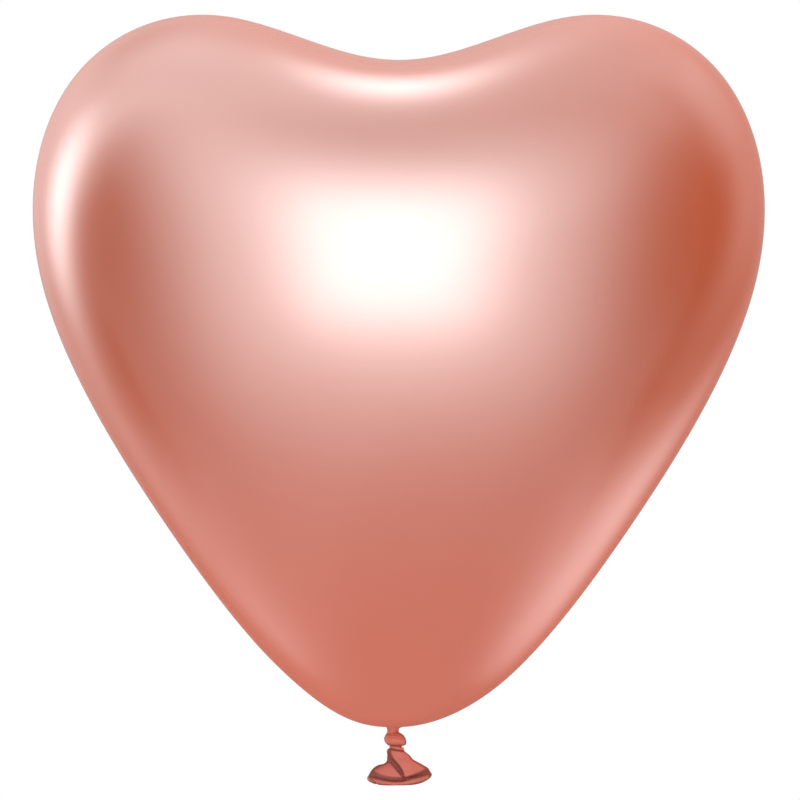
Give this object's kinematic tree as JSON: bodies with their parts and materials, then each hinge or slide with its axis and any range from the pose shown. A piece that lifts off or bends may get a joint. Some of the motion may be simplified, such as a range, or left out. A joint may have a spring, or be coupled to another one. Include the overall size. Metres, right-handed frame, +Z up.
{
  "type": "heart-shaped latex balloon",
  "caption": "Inflated heart-shaped latex balloon with a gathered neck, a tied knot and a short flared tail that ends in a rolled lip.",
  "frame": {"origin": "middle of the gathered neck between the heart and the knot, where a ribbon is tied", "axes": "+Z up through the heart to its cleft, +X to the right seen from the front, -Y to the front; the knot and tail hang along -Z"},
  "size_m": [0.2996, 0.1796, 0.3152],
  "materials": {
    "stretched_latex": "gloss",
    "slack_latex": "gloss"
  },
  "bodies": {
    "envelope": {"heart_skin": "stretched_latex"},
    "neck": {"neck": "slack_latex"},
    "knot": {"knot_upper_turn": "slack_latex", "knot_lower_turn": "slack_latex", "knot_core": "slack_latex"},
    "stem": {"tail_stem": "slack_latex"},
    "tail": {"tail_skirt": "slack_latex", "rolled_lip": "slack_latex"}
  },
  "joints": [
    {"name": "neck_tilt_fore_aft", "type": "hinge", "parent": "envelope", "child": "neck", "pos_m": [0, 0, 0], "axis": [1, 0, 0], "range_deg": [-20, 20], "stiffness_Nm_per_rad": 0.0002},
    {"name": "neck_tilt_side", "type": "hinge", "parent": "neck", "child": "knot", "pos_m": [0, 0, 0], "axis": [0, 1, 0], "range_deg": [-20, 20], "stiffness_Nm_per_rad": 0.0002},
    {"name": "tail_twist", "type": "hinge", "parent": "knot", "child": "stem", "pos_m": [0.0012, 0, -0.0112], "axis": [0, 0, 1], "range_deg": [-90, 90], "stiffness_Nm_per_rad": 0.00003},
    {"name": "tail_fold", "type": "hinge", "parent": "stem", "child": "tail", "pos_m": [0.0012, 0, -0.0112], "axis": [1, 0, 0], "range_deg": [-45, 45], "stiffness_Nm_per_rad": 0.00003}
  ]
}
